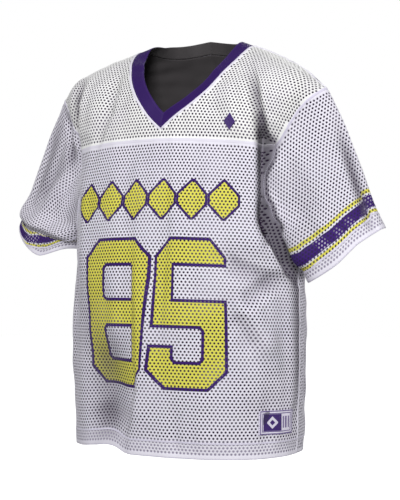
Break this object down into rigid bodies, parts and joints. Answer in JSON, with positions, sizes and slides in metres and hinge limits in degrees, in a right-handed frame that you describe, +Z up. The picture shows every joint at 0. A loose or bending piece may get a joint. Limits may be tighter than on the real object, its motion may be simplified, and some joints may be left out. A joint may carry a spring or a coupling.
{
  "type": "lacrosse jersey",
  "caption": "Short-sleeved mesh team jersey in its worn, hollow form, with V-neck collar, shoulder yoke, striped cuffs and block-digit front.",
  "frame": {"origin": "midway between the two points where the shoulder seams meet the collar, where the wearer's neck and shoulders carry the jersey", "axes": "+X to the wearer's left, -Y ahead of the wearer (the jersey's front), +Z up"},
  "size_m": [0.7609, 0.3113, 0.7591],
  "materials": {
    "white_mesh": "matt warp-knit mesh",
    "purple_knit": "soft knit",
    "purple_label": "woven"
  },
  "bodies": {
    "root": {"front_body": "white_mesh", "front_yoke": "white_mesh", "back": "white_mesh", "sleeve_left": "white_mesh", "sleeve_right": "white_mesh", "collar_band": "purple_knit", "hem_label": "purple_label"}
  },
  "joints": []
}
